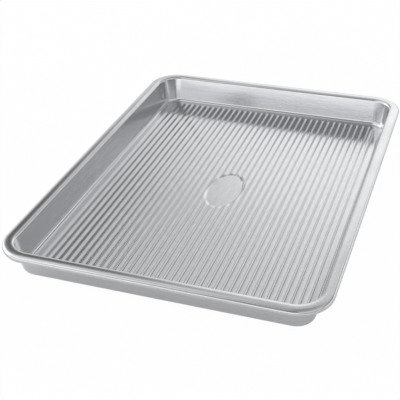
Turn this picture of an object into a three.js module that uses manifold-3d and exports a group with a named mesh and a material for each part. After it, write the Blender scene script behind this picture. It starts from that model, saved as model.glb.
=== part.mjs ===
// Quarter sheet pan: one pressed sheet with a fluted floor, its edge curled round a steel wire.
// Millimetres, +Z up, X across the pan, Y along it, origin under the middle of the floor.

import * as THREE from "three";
import { mergeVertices } from "three/addons/utils/BufferGeometryUtils.js";
import Module from "manifold-3d";

// Driving dimensions
const panWidth = 240.7; // across the rim
const panLength = 330.2; // along the rim
const panHeight = 24.9; // from the table to the top of the rim
const sheetThickness = 0.7;
const wallDraft = 11.2; // degrees that the walls lean out
const floorCornerRadius = 9.65; // plan radius where the flat floor ends
const footRadius = 3.35; // inside bend between the floor and a wall
const lipRadius = 1.35; // inside bend between a wall and the rim
const rimLand = 4.4; // flat strip on top of the rim
const wireDiameter = 3.2;
const wireClearance = 0.3; // all round the wire, inside the curl
const wireButtGap = 0.6; // between the two ends of the wire
const curlSweep = 300; // degrees that the edge turns round the wire
const flutePitch = 5.46;
const fluteDepth = 0.8; // from the flat border of the floor down to the bottoms of the grooves
const fluteRunOut = 3; // length in which a groove rises to the border or sinks to the oval
const fluteEndLand = 1.2; // flat border between the groove ends and the foot bend
const fluteSideLand = 3; // least flat border beside the outermost grooves
const ovalWidth = 27.3; // bare flat oval in the middle, level with the groove bottoms
const ovalLength = 52;

// How finely the bends are faceted
const bendStep = 22; // degrees
const cornerSteps = 7; // for each corner in plan
const fluteColumns = 8; // for each flute
const wireSides = 10;
const weldDistance = 1e-4; // points closer than this are one point

// Cross-section, by reach: the distance outwards from the centre of a plan corner
const draft = THREE.MathUtils.degToRad(wallDraft);
const wireRadius = wireDiameter / 2;
const curlRadius = wireRadius + wireClearance; // inside face of the curl
const beadRadius = curlRadius + sheetThickness;
const bendHeights = 2 * sheetThickness + footRadius + lipRadius;
const wallHeight = panHeight - fluteDepth - bendHeights; // between the two bends
const bendRadii = sheetThickness + footRadius + lipRadius;
const wallReach = (bendRadii + wallHeight * Math.sin(draft)) / Math.cos(draft);
const footCentre = new THREE.Vector2(floorCornerRadius, fluteDepth + sheetThickness + footRadius);
const lipCentre = new THREE.Vector2(floorCornerRadius + wallReach, panHeight - sheetThickness - lipRadius);
const curlCentre = new THREE.Vector2(lipCentre.x + rimLand, panHeight - beadRadius);
const rimCornerRadius = curlCentre.x + beadRadius;

// Plan: the four corners share one centre each for every bend, from the floor to the rim
const cornerX = panWidth / 2 - rimCornerRadius;
const cornerY = panLength / 2 - rimCornerRadius;

// Floor: grooves side by side, centred, ending on a rounded outline inside the foot bend
const fluteEndReach = floorCornerRadius - fluteEndLand;
const seamShare = 0.3; // of the end land, left free on either side of the seam between panel and skirt
const skirtReach = fluteEndReach + seamShare * fluteEndLand; // inner edge of the skirt
const panelReach = floorCornerRadius - seamShare * fluteEndLand; // outer edge of the fluted panel
const fluteRoom = 2 * (cornerX + floorCornerRadius - fluteSideLand);
const fluteCount = Math.floor(fluteRoom / flutePitch);
const fieldHalfWidth = (fluteCount * flutePitch) / 2;

const wasm = await Module();
wasm.setup();

// A geometry as a solid that can be joined and cut, with repeated vertices and empty triangles taken out.
function toSolid(geometry) {
  const bare = new THREE.BufferGeometry();
  bare.setAttribute("position", geometry.getAttribute("position"));
  bare.setIndex(geometry.getIndex());
  const merged = mergeVertices(bare, weldDistance);
  const kept = [];
  for (let i = 0; i < merged.index.count; i += 3) {
    const [a, b, c] = [0, 1, 2].map((corner) => merged.index.getX(i + corner));
    if (a !== b && b !== c && c !== a) kept.push(a, b, c);
  }
  return new wasm.Manifold(
    new wasm.Mesh({
      numProp: 3,
      vertProperties: merged.getAttribute("position").array,
      triVerts: new Uint32Array(kept),
    }),
  );
}

function toGeometry(solid) {
  const mesh = solid.getMesh();
  const geometry = new THREE.BufferGeometry();
  geometry.setAttribute("position", new THREE.BufferAttribute(mesh.vertProperties, 3));
  geometry.setIndex(new THREE.BufferAttribute(mesh.triVerts, 1));
  geometry.computeVertexNormals();
  return geometry;
}

// Joins rings of points, each an outline that runs anticlockwise, into one closed surface.
// A loop meets its own first ring again. Otherwise both ends are capped.
function loft(rings, loop) {
  const size = rings[0].length;
  const index = [];
  const bands = loop ? rings.length : rings.length - 1;
  for (let band = 0; band < bands; band++) {
    const here = band * size;
    const next = ((band + 1) % rings.length) * size;
    for (let i = 0; i < size; i++) {
      const j = (i + 1) % size;
      index.push(here + i, next + i, next + j, here + i, next + j, here + j);
    }
  }
  if (!loop) {
    const outline = rings[0].map((point) => new THREE.Vector2(point.x, point.z));
    const last = (rings.length - 1) * size;
    for (const [a, b, c] of THREE.ShapeUtils.triangulateShape(outline, [])) {
      index.push(a, b, c, last + a, last + c, last + b);
    }
  }
  const geometry = new THREE.BufferGeometry().setFromPoints(rings.flat());
  return geometry.setIndex(index);
}

// Carries a cross-section, given by reach and height, once round the pan's rounded rectangle.
function sweepRound(section) {
  const rings = [];
  const corners = [[1, 1], [-1, 1], [-1, -1], [1, -1]];
  corners.forEach(([sideX, sideY], quarter) => {
    for (let step = 0; step <= cornerSteps; step++) {
      const turn = ((quarter + step / cornerSteps) * Math.PI) / 2;
      const along = ({ x: reach, y: height }) =>
        new THREE.Vector3(
          sideX * cornerX + reach * Math.cos(turn),
          sideY * cornerY + reach * Math.sin(turn),
          height,
        );
      rings.push(section.map(along));
    }
  });
  return loft(rings, true);
}

// Points along an arc about a centre, from one angle to another in degrees.
function arc(centre, radius, from, to) {
  const [start, end] = [from, to].map(THREE.MathUtils.degToRad);
  const curve = new THREE.EllipseCurve(centre.x, centre.y, radius, radius, start, end, to < from);
  return curve.getPoints(Math.ceil(Math.abs(to - from) / bendStep));
}

// The sheet's own cross-section: out along the underside, round inside the curl, and back over the top.
function sheetSection() {
  const wallSide = 180 - wallDraft;
  const curlEnd = 90 - curlSweep;
  return [
    new THREE.Vector2(skirtReach, fluteDepth),
    ...arc(footCentre, footRadius + sheetThickness, -90, -wallDraft),
    ...arc(lipCentre, lipRadius, wallSide, 90),
    ...arc(curlCentre, curlRadius, 90, curlEnd),
    ...arc(curlCentre, beadRadius, curlEnd, 90),
    ...arc(lipCentre, lipRadius + sheetThickness, 90, wallSide),
    ...arc(footCentre, footRadius, -wallDraft, -90),
    new THREE.Vector2(skirtReach, fluteDepth + sheetThickness),
  ];
}

// Rounded rectangle at a given reach, as an upright prism from below the grooves to above the border.
function floorPrism(reach) {
  const outline = new THREE.Shape();
  outline.absarc(cornerX, cornerY, reach, 0, Math.PI / 2);
  outline.absarc(-cornerX, cornerY, reach, Math.PI / 2, Math.PI);
  outline.absarc(-cornerX, -cornerY, reach, Math.PI, 1.5 * Math.PI);
  outline.absarc(cornerX, -cornerY, reach, 1.5 * Math.PI, 2 * Math.PI);
  const margin = sheetThickness; // below the grooves and above the border
  const depth = fluteDepth + sheetThickness + 2 * margin;
  const options = { depth, bevelEnabled: false, curveSegments: cornerSteps };
  return new THREE.ExtrudeGeometry(outline, options).translate(0, 0, -margin);
}

// The pressed panel: the sheet sinks into rounded grooves that run along the pan. They rise to the flat
// border at both ends, and all of it sinks to the level of their bottoms at the bare oval.
function flutedPanel() {
  const columns = [-cornerX - floorCornerRadius];
  for (let i = 0; i <= fluteCount * fluteColumns; i++) {
    columns.push(-fieldHalfWidth + (i * flutePitch) / fluteColumns);
  }
  columns.push(cornerX + floorCornerRadius);

  const wave = (x) => {
    const phase = (2 * Math.PI * (Math.min(Math.abs(x), fieldHalfWidth) + fieldHalfWidth)) / flutePitch;
    return (fluteDepth * (1 + Math.cos(phase))) / 2;
  };
  const fluteEnd = (x) => {
    const past = Math.max(0, Math.min(Math.abs(x), fieldHalfWidth) - cornerX);
    return cornerY + Math.sqrt(fluteEndReach ** 2 - past ** 2);
  };
  const ovalEdge = (x) => (ovalLength / 2) * Math.sqrt(Math.max(0, 1 - (2 * x / ovalWidth) ** 2));

  // For each row, how far along the pan it lies at x, and the height of the sheet's underside there.
  const halfRows = [
    () => [cornerY + floorCornerRadius, fluteDepth],
    (x) => [fluteEnd(x), fluteDepth],
    (x) => [fluteEnd(x) - fluteRunOut, wave(x)],
    (x) => [ovalEdge(x) > 0 ? ovalEdge(x) + fluteRunOut : 0, wave(x)],
    (x) => [ovalEdge(x), ovalEdge(x) > 0 ? 0 : wave(x)],
  ];
  const nearRows = halfRows.map((row) => (x) => [-row(x)[0], row(x)[1]]);
  const rows = [...nearRows, ...halfRows.toReversed()];

  const rings = rows.map((row) => {
    const edge = (x, lift) => {
      const [y, height] = row(x);
      return new THREE.Vector3(x, y, height + lift);
    };
    const underside = columns.map((x) => edge(x, 0));
    const top = columns.map((x) => edge(x, sheetThickness));
    return [...underside, ...top.reverse()];
  });
  return loft(rings, false);
}

function panBody() {
  const skirt = toSolid(sweepRound(sheetSection()));
  const panel = toSolid(flutedPanel()).intersect(toSolid(floorPrism(panelReach)));
  return toGeometry(skirt.add(panel));
}

// The rim's wire follows the curl all the way round, and its two ends meet in the middle of a long side.
function rimWire() {
  const circle = new THREE.EllipseCurve(curlCentre.x, curlCentre.y, wireRadius, wireRadius);
  const round = toSolid(sweepRound(circle.getPoints(wireSides).slice(0, wireSides)));
  const gap = new THREE.BoxGeometry(2 * wireDiameter, wireButtGap, 2 * wireDiameter);
  gap.translate(cornerX + curlCentre.x, 0, curlCentre.y);
  return toGeometry(round.subtract(toSolid(gap)));
}

const aluminisedSteel = new THREE.MeshStandardMaterial({ color: 0xc4c5c7, roughness: 0.36, metalness: 1 });
const plainSteel = new THREE.MeshStandardMaterial({ color: 0x8d8f92, roughness: 0.45, metalness: 1 });

const pan = new THREE.Group();
const body = new THREE.Mesh(panBody(), aluminisedSteel);
body.name = "pan_body";
const wire = new THREE.Mesh(rimWire(), plainSteel);
wire.name = "rim_wire";
pan.add(body, wire);

export default pan;
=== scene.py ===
import math

import bmesh
import bpy
from mathutils import Matrix, Vector


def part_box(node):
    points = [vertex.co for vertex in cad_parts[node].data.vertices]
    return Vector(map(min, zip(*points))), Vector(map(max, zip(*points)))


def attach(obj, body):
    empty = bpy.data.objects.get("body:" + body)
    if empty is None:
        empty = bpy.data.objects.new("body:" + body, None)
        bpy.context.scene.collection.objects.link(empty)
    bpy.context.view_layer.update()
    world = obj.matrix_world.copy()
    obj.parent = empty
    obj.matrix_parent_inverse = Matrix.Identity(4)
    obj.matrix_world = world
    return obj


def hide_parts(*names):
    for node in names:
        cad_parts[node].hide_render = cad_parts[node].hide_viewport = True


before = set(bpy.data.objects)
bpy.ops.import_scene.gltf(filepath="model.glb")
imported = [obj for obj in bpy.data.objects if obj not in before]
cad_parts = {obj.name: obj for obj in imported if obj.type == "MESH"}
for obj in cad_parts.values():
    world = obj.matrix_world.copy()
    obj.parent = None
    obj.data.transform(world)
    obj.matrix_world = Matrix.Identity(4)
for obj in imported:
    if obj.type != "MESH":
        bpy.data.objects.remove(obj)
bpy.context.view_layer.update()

scene = bpy.context.scene
scene.view_settings.view_transform = "Standard"
mm = 0.001
panLow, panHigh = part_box("pan_body")
print("frame loaded, pan", [round(side / mm, 1) for side in panHigh - panLow])


# the pressed sheet, drawn on the middle of its thickness
sheet = {
    "thick": 0.7 * mm,
    "draft": 11.2,                # degrees the walls lean out
    "floorCorner": 9.65 * mm,     # plan radius where the flat floor ends
    "footBend": 3.35 * mm,        # inside radii of the two bends
    "lipBend": 1.35 * mm,
    "rimLand": 4.4 * mm,          # strip on top of the rim
    "crown": 9,                   # degrees that the strip slopes at its two edges
    "curlBend": 1.9 * mm,         # inside of the curl
    "curlSweep": 300,             # degrees that the edge turns round the wire
    "edgeSweep": 8,               # last degrees of the curl, its own short face
    "seam": 0.6 * mm,             # flat land kept between the flute ends and the foot bend
    "footSteps": 10,
    "lipSteps": 8,
    "crownSteps": 6,
    "curlSteps": 26,
    "cornerSteps": 24,
    "weld": 0.01 * mm,            # points closer than this are one point
}

flutes = {
    "count": 37,
    "pitch": 5.46 * mm,
    "depth": 0.8 * mm,            # below the flat border of the floor
    "runOut": 3.0 * mm,           # length in which a groove rises to the border
    "endLand": 1.2 * mm,          # flat between the flute ends and the foot bend
    "columns": 8,                 # mesh columns for each flute
    "ovalWidth": 27.3 * mm,
    "ovalLength": 52.0 * mm,
    "ovalRunOut": 1.6 * mm,       # length in which the flutes fall to the oval
    "ovalMargin": 1.0 * mm,       # close mesh rows past that length
    "ovalRows": 104,              # mesh rows across the oval and its run-out
    "endRows": 9,                 # mesh rows in each end run-out
}

half = sheet["thick"] / 2
draft = math.radians(sheet["draft"])
crown = math.radians(sheet["crown"])
border = flutes["depth"] + half           # middle of the sheet in the floor's flat border
footMid = sheet["footBend"] + half
lipMid = sheet["lipBend"] + half
curlMid = sheet["curlBend"] + half
bead = curlMid + half
footZ = border + footMid
crownRadius = (lipMid + curlMid + sheet["rimLand"] / math.sin(crown)) / 2
lipZ = panHigh.z - half - crownRadius + (crownRadius - lipMid) * math.cos(crown)
curlZ = lipZ + (lipMid - curlMid) * math.cos(crown)
wallReach = (footMid + lipMid + (lipZ - footZ) * math.sin(draft)) / math.cos(draft)
lipReach = sheet["floorCorner"] + wallReach
curlReach = lipReach + sheet["rimLand"]
cornerX = panHigh.x - curlReach - bead
cornerY = panHigh.y - curlReach - bead
corners = [(cornerX, cornerY), (-cornerX, cornerY), (-cornerX, -cornerY), (cornerX, -cornerY)]


def verticesOf(geom):
    return [item for item in geom if isinstance(item, bmesh.types.BMVert)]


def edgesOf(geom):
    return [item for item in geom if isinstance(item, bmesh.types.BMEdge)]


def drawStraight(bm, vert, move):         # one straight stretch of a section
    made = bmesh.ops.extrude_vert_indiv(bm, verts=[vert])["verts"]
    bmesh.ops.translate(bm, verts=made, vec=move)
    return made[0]


def drawBend(bm, vert, centre, degrees, steps):   # one bend of a section, turned about Y
    made = bmesh.ops.spin(bm, geom=[vert], cent=centre, axis=(0, 1, 0),
                          angle=math.radians(degrees), steps=steps)
    return verticesOf(made["geom_last"])[0]


def pullStraight(bm, edges, move):        # carries a section along one side of the pan
    made = bmesh.ops.extrude_edge_only(bm, edges=edges)["geom"]
    bmesh.ops.translate(bm, verts=verticesOf(made), vec=move)
    return edgesOf(made)


def pullCorner(bm, edges, corner):        # carries a section round one corner
    ends = list({vert for edge in edges for vert in edge.verts})
    made = bmesh.ops.spin(bm, geom=ends + edges, cent=(*corner, 0), axis=(0, 0, 1),
                          angle=math.pi / 2, steps=sheet["cornerSteps"])
    return edgesOf(made["geom_last"])


def carryRound(bm, section, startY, endY):    # from the middle of the right side, once round
    moves = [(0, cornerY - startY, 0), (-2 * cornerX, 0, 0), (0, -2 * cornerY, 0), (2 * cornerX, 0, 0)]
    for move, corner in zip(moves, corners):
        section = pullStraight(bm, section, move)
        section = pullCorner(bm, section, corner)
    return pullStraight(bm, section, (0, cornerY + endY, 0))


def makeObject(name, bm):
    mesh = bpy.data.meshes.new(name)
    bm.to_mesh(mesh)
    bm.free()
    mesh.polygons.foreach_set("use_smooth", [True] * len(mesh.polygons))
    made = bpy.data.objects.new(name, mesh)
    scene.collection.objects.link(made)
    return made


# skirt: floor border, foot bend, wall, lip, rim strip and curl, drawn as a section and carried round
def addSkirt(bm):
    foot = cornerX + sheet["floorCorner"]
    start = bm.verts.new((foot - sheet["seam"], 0, border))
    lean = 90 - sheet["draft"]
    wall = Vector((cornerX + lipReach - lipMid * math.cos(draft), 0, lipZ + lipMid * math.sin(draft)))
    tip = drawStraight(bm, start, (sheet["seam"], 0, 0))
    tip = drawBend(bm, tip, (foot, 0, footZ), -lean, sheet["footSteps"])
    tip = drawStraight(bm, tip, wall - tip.co)
    lip = Vector((cornerX + lipReach, 0, lipZ))
    under = Vector((math.sin(crown), 0, -math.cos(crown))) * (crownRadius - lipMid)
    curl = (cornerX + curlReach, 0, curlZ)
    curlTurn = sheet["curlSweep"] - sheet["crown"] - sheet["edgeSweep"]
    tip = drawBend(bm, tip, lip, lean - sheet["crown"], sheet["lipSteps"])
    tip = drawBend(bm, tip, lip + under, 2 * sheet["crown"], sheet["crownSteps"])
    tip = drawBend(bm, tip, curl, curlTurn, sheet["curlSteps"])
    drawBend(bm, tip, curl, sheet["edgeSweep"], 1)
    carryRound(bm, bm.edges[:], 0, 0)
    bmesh.ops.remove_doubles(bm, verts=bm.verts, dist=sheet["weld"])


def smooth(share):
    share = min(max(share, 0), 1)
    return share * share * (3 - 2 * share)


fieldHalf = flutes["count"] * flutes["pitch"] / 2
fluteReach = sheet["floorCorner"] - flutes["endLand"]


def fluteEnd(x):                          # the flutes end on a rounded outline inside the foot bend
    return cornerY + math.sqrt(fluteReach ** 2 - max(0, abs(x) - cornerX) ** 2)


def groove(x):                            # how far the sheet is pressed down, one groove in the middle
    return flutes["depth"] * (1 + math.cos(2 * math.pi * x / flutes["pitch"])) / 2


def pastOval(x, y):                       # distance outside the bare oval
    a = flutes["ovalWidth"] / 2
    b = flutes["ovalLength"] / 2
    rho = math.hypot(x / a, y / b)
    slope = math.hypot(x / a ** 2, y / b ** 2)
    return (rho - 1) * rho / slope if slope > 0 else -a


def rowPlace(row, x):                     # mesh rows crowd round the oval and in the end run-outs
    rows = flutes["ovalRows"] / 2
    middle = flutes["ovalLength"] / 2 + flutes["ovalRunOut"] + flutes["ovalMargin"]
    place = abs(row)
    if place <= rows:
        y = middle * place / rows
    else:
        y = fluteEnd(x) - flutes["runOut"] * (1 - (place - rows - 1) / flutes["endRows"])
    return math.copysign(y, row)


# fluted floor: a grid whose columns follow the grooves, which end at the border and at the low flat oval
def addFloor(bm):
    rows = flutes["ovalRows"] + 2 * (flutes["endRows"] + 1)
    columns = flutes["count"] * flutes["columns"]
    grid = bmesh.ops.create_grid(bm, x_segments=columns, y_segments=rows, size=1)["verts"]
    for vert in grid:
        x = vert.co.x * fieldHalf
        y = rowPlace(round(vert.co.y * rows / 2), x)
        rise = flutes["depth"] - groove(x) * smooth((fluteEnd(x) - abs(y)) / flutes["runOut"])
        vert.co = (x, y, half + rise * smooth(pastOval(x, y) / flutes["ovalRunOut"]))


def makePan():
    bm = bmesh.new()
    addSkirt(bm)
    addFloor(bm)
    inner = [edge for edge in bm.edges
             if edge.is_boundary and max(vert.co.z for vert in edge.verts) < footZ]
    bmesh.ops.triangle_fill(bm, use_beauty=True, use_dissolve=False, edges=inner, normal=(0, 0, 1))
    bmesh.ops.recalc_face_normals(bm, faces=bm.faces)
    middle = min(bm.faces, key=lambda face: face.calc_center_median().xy.length)
    if middle.normal.z < 0:
        bmesh.ops.reverse_faces(bm, faces=bm.faces)
    made = makeObject("panSheet", bm)
    wall = made.modifiers.new("thickness", "SOLIDIFY")
    wall.thickness = sheet["thick"]
    wall.offset = 0
    wall.use_even_offset = True
    return made


wire = {
    "radius": 1.6 * mm,
    "buttGap": 0.6 * mm,
    "sides": 20,
}


def makeWire():
    bm = bmesh.new()
    height = panHigh.z - half - curlMid
    place = Matrix.Translation((cornerX + curlReach, wire["buttGap"] / 2, height))
    place = place @ Matrix.Rotation(math.pi / 2, 4, "X")
    bmesh.ops.create_circle(bm, segments=wire["sides"], radius=wire["radius"], matrix=place)
    first = bm.edges[:]
    last = carryRound(bm, first, wire["buttGap"] / 2, -wire["buttGap"] / 2)
    bmesh.ops.edgeloop_fill(bm, edges=first)
    bmesh.ops.edgeloop_fill(bm, edges=last)
    bmesh.ops.recalc_face_normals(bm, faces=bm.faces)
    return makeObject("rimWire", bm)


# node helpers
def startMaterial(name):
    material = bpy.data.materials.new(name)
    material.use_nodes = True
    return material, material.node_tree


def addNode(tree, kind, values={}, **settings):
    node = tree.nodes.new("ShaderNode" + kind)
    for name, value in settings.items():
        setattr(node, name, value)
    for name, value in values.items():
        if isinstance(value, bpy.types.NodeSocket):
            tree.links.new(value, node.inputs[name])
        else:
            node.inputs[name].default_value = value
    return node


def calculate(tree, operation, first, second):
    return addNode(tree, "Math", {0: first, 1: second}, operation=operation).outputs[0]


def noise(tree, place, stretch, detail):  # uneven patches, stretched by their number in each metre
    spread = addNode(tree, "Mapping", {"Vector": place, "Scale": stretch})
    made = addNode(tree, "TexNoise", {"Vector": spread.outputs[0], "Scale": 1.0, "Detail": detail,
                                      "Roughness": 0.6})
    return made.outputs[0]


def remap(tree, value, low, high, toLow, toHigh):
    made = addNode(tree, "MapRange", {"Value": value, "From Min": low, "From Max": high,
                                      "To Min": toLow, "To Max": toHigh})
    return made.outputs[0]


def toneRamp(tree, value, dark, light):
    ramp = addNode(tree, "ValToRGB", {"Fac": value})
    ramp.color_ramp.elements[0].color = dark
    ramp.color_ramp.elements[1].color = light
    return ramp.outputs[0]


# satin aluminised steel: rolled grain along the pan, fine specks, scuffed walls, drawn corners
coat = {
    "dark": (0.54, 0.545, 0.56, 1),
    "light": (0.72, 0.725, 0.74, 1),
    "smoothest": 0.11,
    "roughest": 0.19,
    "grain": (900.0, 120.0, 900.0),     # patches in each metre
    "speck": (1100.0, 1100.0, 1100.0),
    "scuff": (28.0, 28.0, 520.0),
    "draw": (620.0, 620.0, 12.0),
    "speckHeight": 0.010 * mm,
    "drawHeight": 0.035 * mm,
    "wallStart": 6.0 * mm,             # height at which the scuffs begin
    "wallFull": 10.0 * mm,
    "cornerFade": 4.0 * mm,            # length in which the drawn marks set in at a corner
    "span": (0.3, 0.7),                # usual range of a noise
    "scuffSpan": (0.35, 0.65),
    "grainTone": 0.18,                 # shares of the way from dark to light
    "scuffTone": 0.16,
    "speckTone": (0.38, 0.62),
}


def makeCoat():
    material, tree = startMaterial("satinAluminisedSteel")
    shader = tree.nodes["Principled BSDF"]
    shader.inputs["Metallic"].default_value = 1.0
    place = addNode(tree, "TexCoord").outputs["Object"]
    split = addNode(tree, "SeparateXYZ", {0: place})
    onWall = remap(tree, split.outputs["Z"], coat["wallStart"], coat["wallFull"], 0.0, 1.0)
    onFloor = calculate(tree, "SUBTRACT", 1.0, onWall)
    pastX = calculate(tree, "SUBTRACT", calculate(tree, "ABSOLUTE", split.outputs["X"], 0.0), cornerX)
    pastY = calculate(tree, "SUBTRACT", calculate(tree, "ABSOLUTE", split.outputs["Y"], 0.0), cornerY)
    inCorner = remap(tree, calculate(tree, "MINIMUM", pastX, pastY), 0.0, coat["cornerFade"], 0.0, 1.0)
    onCorner = calculate(tree, "MULTIPLY", inCorner, onWall)

    grain = remap(tree, noise(tree, place, coat["grain"], detail=3.0), *coat["span"],
                  -coat["grainTone"], coat["grainTone"])
    speck = noise(tree, place, coat["speck"], detail=2.0)
    scuff = remap(tree, noise(tree, place, coat["scuff"], detail=3.0), *coat["scuffSpan"],
                  -coat["scuffTone"], coat["scuffTone"])
    draw = noise(tree, place, coat["draw"], detail=2.0)
    worn = calculate(tree, "ADD", calculate(tree, "MULTIPLY", scuff, onWall),
                     calculate(tree, "MULTIPLY", grain, onFloor))
    drawn = calculate(tree, "MULTIPLY", draw, onCorner)
    tone = calculate(tree, "ADD", worn, remap(tree, speck, *coat["span"], *coat["speckTone"]))
    tree.links.new(toneRamp(tree, tone, coat["dark"], coat["light"]), shader.inputs["Base Color"])
    tree.links.new(remap(tree, speck, *coat["span"], coat["smoothest"], coat["roughest"]),
                   shader.inputs["Roughness"])

    height = calculate(tree, "ADD", calculate(tree, "MULTIPLY", speck, coat["speckHeight"]),
                       calculate(tree, "MULTIPLY", drawn, coat["drawHeight"]))
    bump = addNode(tree, "Bump", {"Strength": 1.0, "Distance": 1.0, "Height": height})
    tree.links.new(bump.outputs[0], shader.inputs["Normal"])
    return material


# plain drawn wire, seen only through the slit of the curl
drawnWire = {
    "dark": (0.42, 0.425, 0.43, 1),
    "light": (0.58, 0.585, 0.59, 1),
    "roughness": 0.42,
    "mottle": (1500.0, 1500.0, 1500.0),
}


def makeDrawnWire():
    material, tree = startMaterial("drawnSteelWire")
    shader = tree.nodes["Principled BSDF"]
    shader.inputs["Metallic"].default_value = 1.0
    shader.inputs["Roughness"].default_value = drawnWire["roughness"]
    place = addNode(tree, "TexCoord").outputs["Object"]
    mottle = noise(tree, place, drawnWire["mottle"], detail=2.0)
    tone = toneRamp(tree, mottle, drawnWire["dark"], drawnWire["light"])
    tree.links.new(tone, shader.inputs["Base Color"])
    return material


panSheet = makePan()
panSheet.data.materials.append(makeCoat())
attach(panSheet, "root")
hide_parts("pan_body")
print("pan sheet made,", len(panSheet.data.polygons), "faces before its thickness")

rimWire = makeWire()
rimWire.data.materials.append(makeDrawnWire())
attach(rimWire, "root")
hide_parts("rim_wire")
print("rim wire made,", len(rimWire.data.polygons), "faces")


# studio: pale floor, and a soft surround whose sides each fade with height
studio = {
    "floorSize": 40.0,
    "floorGap": 0.05 * mm,        # below the pan
    "floorColour": (0.95, 0.95, 0.95, 1),
    "whiteToEye": 0.98,           # share of the floor that is plain white to the camera
    "whiteToMetal": 0.25,         # and in reflections
    "strength": 1.05,
    "blend": 20.0,                # how closely each side keeps to its bearing
    "leastFacing": 0.2,           # keeps every side's share above nothing
    "sides": {                    # degrees right of the far end: degrees up and light
        -45: [(0, 0.4), (9, 0.4), (14, 0.8), (19, 0.9), (22, 0.7), (26, 0.05), (37, 0.05), (55, 1.0),
              (90, 0.4)],
        1: [(0, 0.3), (12, 1.2), (26, 1.3), (33, 1.2), (37, 0.75), (46, 0.75), (56, 0.4), (90, 0.4)],
        45: [(0, 1.2), (14, 1.2), (24, 0.2), (30, 0.2), (40, 0.7), (55, 0.6), (90, 0.4)],
        130: [(0, 0.1), (22, 1.0), (34, 0.8), (55, 0.6), (90, 0.4)],
        190: [(0, 1.4), (16, 1.4), (26, 0.3), (55, 0.3), (90, 0.4)],
        230: [(0, 1.5), (14, 1.4), (22, 0.7), (40, 1.3), (60, 1.3), (90, 0.4)],
        292: [(0, 2.4), (30, 2.2), (50, 1.2), (90, 0.4)],
    },
}


def makeFloor():
    bm = bmesh.new()
    bmesh.ops.create_grid(bm, x_segments=1, y_segments=1, size=studio["floorSize"])
    bmesh.ops.translate(bm, verts=bm.verts, vec=(0, 0, panLow.z - studio["floorGap"]))
    made = makeObject("studioFloor", bm)
    material, tree = startMaterial("paleFloor")
    tree.nodes.remove(tree.nodes["Principled BSDF"])
    matt = addNode(tree, "BsdfDiffuse", {"Color": studio["floorColour"]})
    glow = addNode(tree, "Emission")
    rays = addNode(tree, "LightPath").outputs
    toEye = calculate(tree, "MAXIMUM", rays["Is Camera Ray"], rays["Is Transmission Ray"])
    share = calculate(tree, "MAXIMUM", calculate(tree, "MULTIPLY", toEye, studio["whiteToEye"]),
                      calculate(tree, "MULTIPLY", rays["Is Glossy Ray"], studio["whiteToMetal"]))
    mix = addNode(tree, "MixShader", {0: share, 1: matt.outputs[0], 2: glow.outputs[0]})
    tree.links.new(mix.outputs[0], tree.nodes["Material Output"].inputs["Surface"])
    made.data.materials.append(material)


def makeSurround():
    world = bpy.data.worlds.new("studioSurround")
    scene.world = world
    world.use_nodes = True
    tree = world.node_tree
    split = addNode(tree, "SeparateXYZ", {0: addNode(tree, "TexCoord").outputs["Generated"]}).outputs
    level = addNode(tree, "CombineXYZ", {"X": split["X"], "Y": split["Y"]})
    level = addNode(tree, "VectorMath", {0: level.outputs[0]}, operation="NORMALIZE").outputs[0]
    total = 0.0
    shares = 0.0
    for bearing, stops in studio["sides"].items():
        turn = math.radians(bearing)
        facing = addNode(tree, "VectorMath", {0: level, 1: (math.sin(turn), math.cos(turn), 0.0)},
                         operation="DOT_PRODUCT").outputs["Value"]
        facing = calculate(tree, "MAXIMUM", facing, studio["leastFacing"])
        share = calculate(tree, "POWER", facing, studio["blend"])
        ramp = addNode(tree, "ValToRGB", {"Fac": split["Z"]})
        marks = ramp.color_ramp.elements
        while len(marks) < len(stops):
            marks.new(0.5)
        for mark, (height, light) in zip(marks, stops):
            mark.position = math.sin(math.radians(height))
            mark.color = (light, light, light, 1)
        total = calculate(tree, "ADD", calculate(tree, "MULTIPLY", ramp.outputs[0], share), total)
        shares = calculate(tree, "ADD", share, shares)
    light = calculate(tree, "MULTIPLY", calculate(tree, "DIVIDE", total, shares), studio["strength"])
    background = tree.nodes["Background"]
    background.inputs["Color"].default_value = (1, 1, 1, 1)
    tree.links.new(light, background.inputs["Strength"])


makeFloor()
makeSurround()
print("studio made")

# camera, matched to the photographed outline
view = {
    "azimuth": 20.35,             # degrees right of the near end
    "height": 31.65,              # degrees above the floor
    "distance": 692.4 * mm,
    "target": (-14.58 * mm, -20.03 * mm, flutes["depth"]),
    "roll": -1.93,
    "focalPixels": 851.9,
    "imagePixels": 400,
    "sensor": 36.0,               # millimetres
    "nearest": 10.0 * mm,
}


def makeCamera():
    camera = bpy.data.cameras.new("camera")
    camera.sensor_width = view["sensor"]
    camera.lens = view["focalPixels"] * camera.sensor_width / view["imagePixels"]
    camera.clip_start = view["nearest"]
    made = bpy.data.objects.new("camera", camera)
    azimuth = math.radians(view["azimuth"])
    height = math.radians(view["height"])
    turn = Matrix.Rotation(azimuth, 4, "Z") @ Matrix.Rotation(math.pi / 2 - height, 4, "X")
    back = turn @ Vector((0, 0, view["distance"]))
    made.matrix_world = (Matrix.Translation(Vector(view["target"]) + back) @ turn
                         @ Matrix.Rotation(math.radians(view["roll"]), 4, "Z"))
    scene.collection.objects.link(made)
    scene.camera = made


makeCamera()
print("camera set")
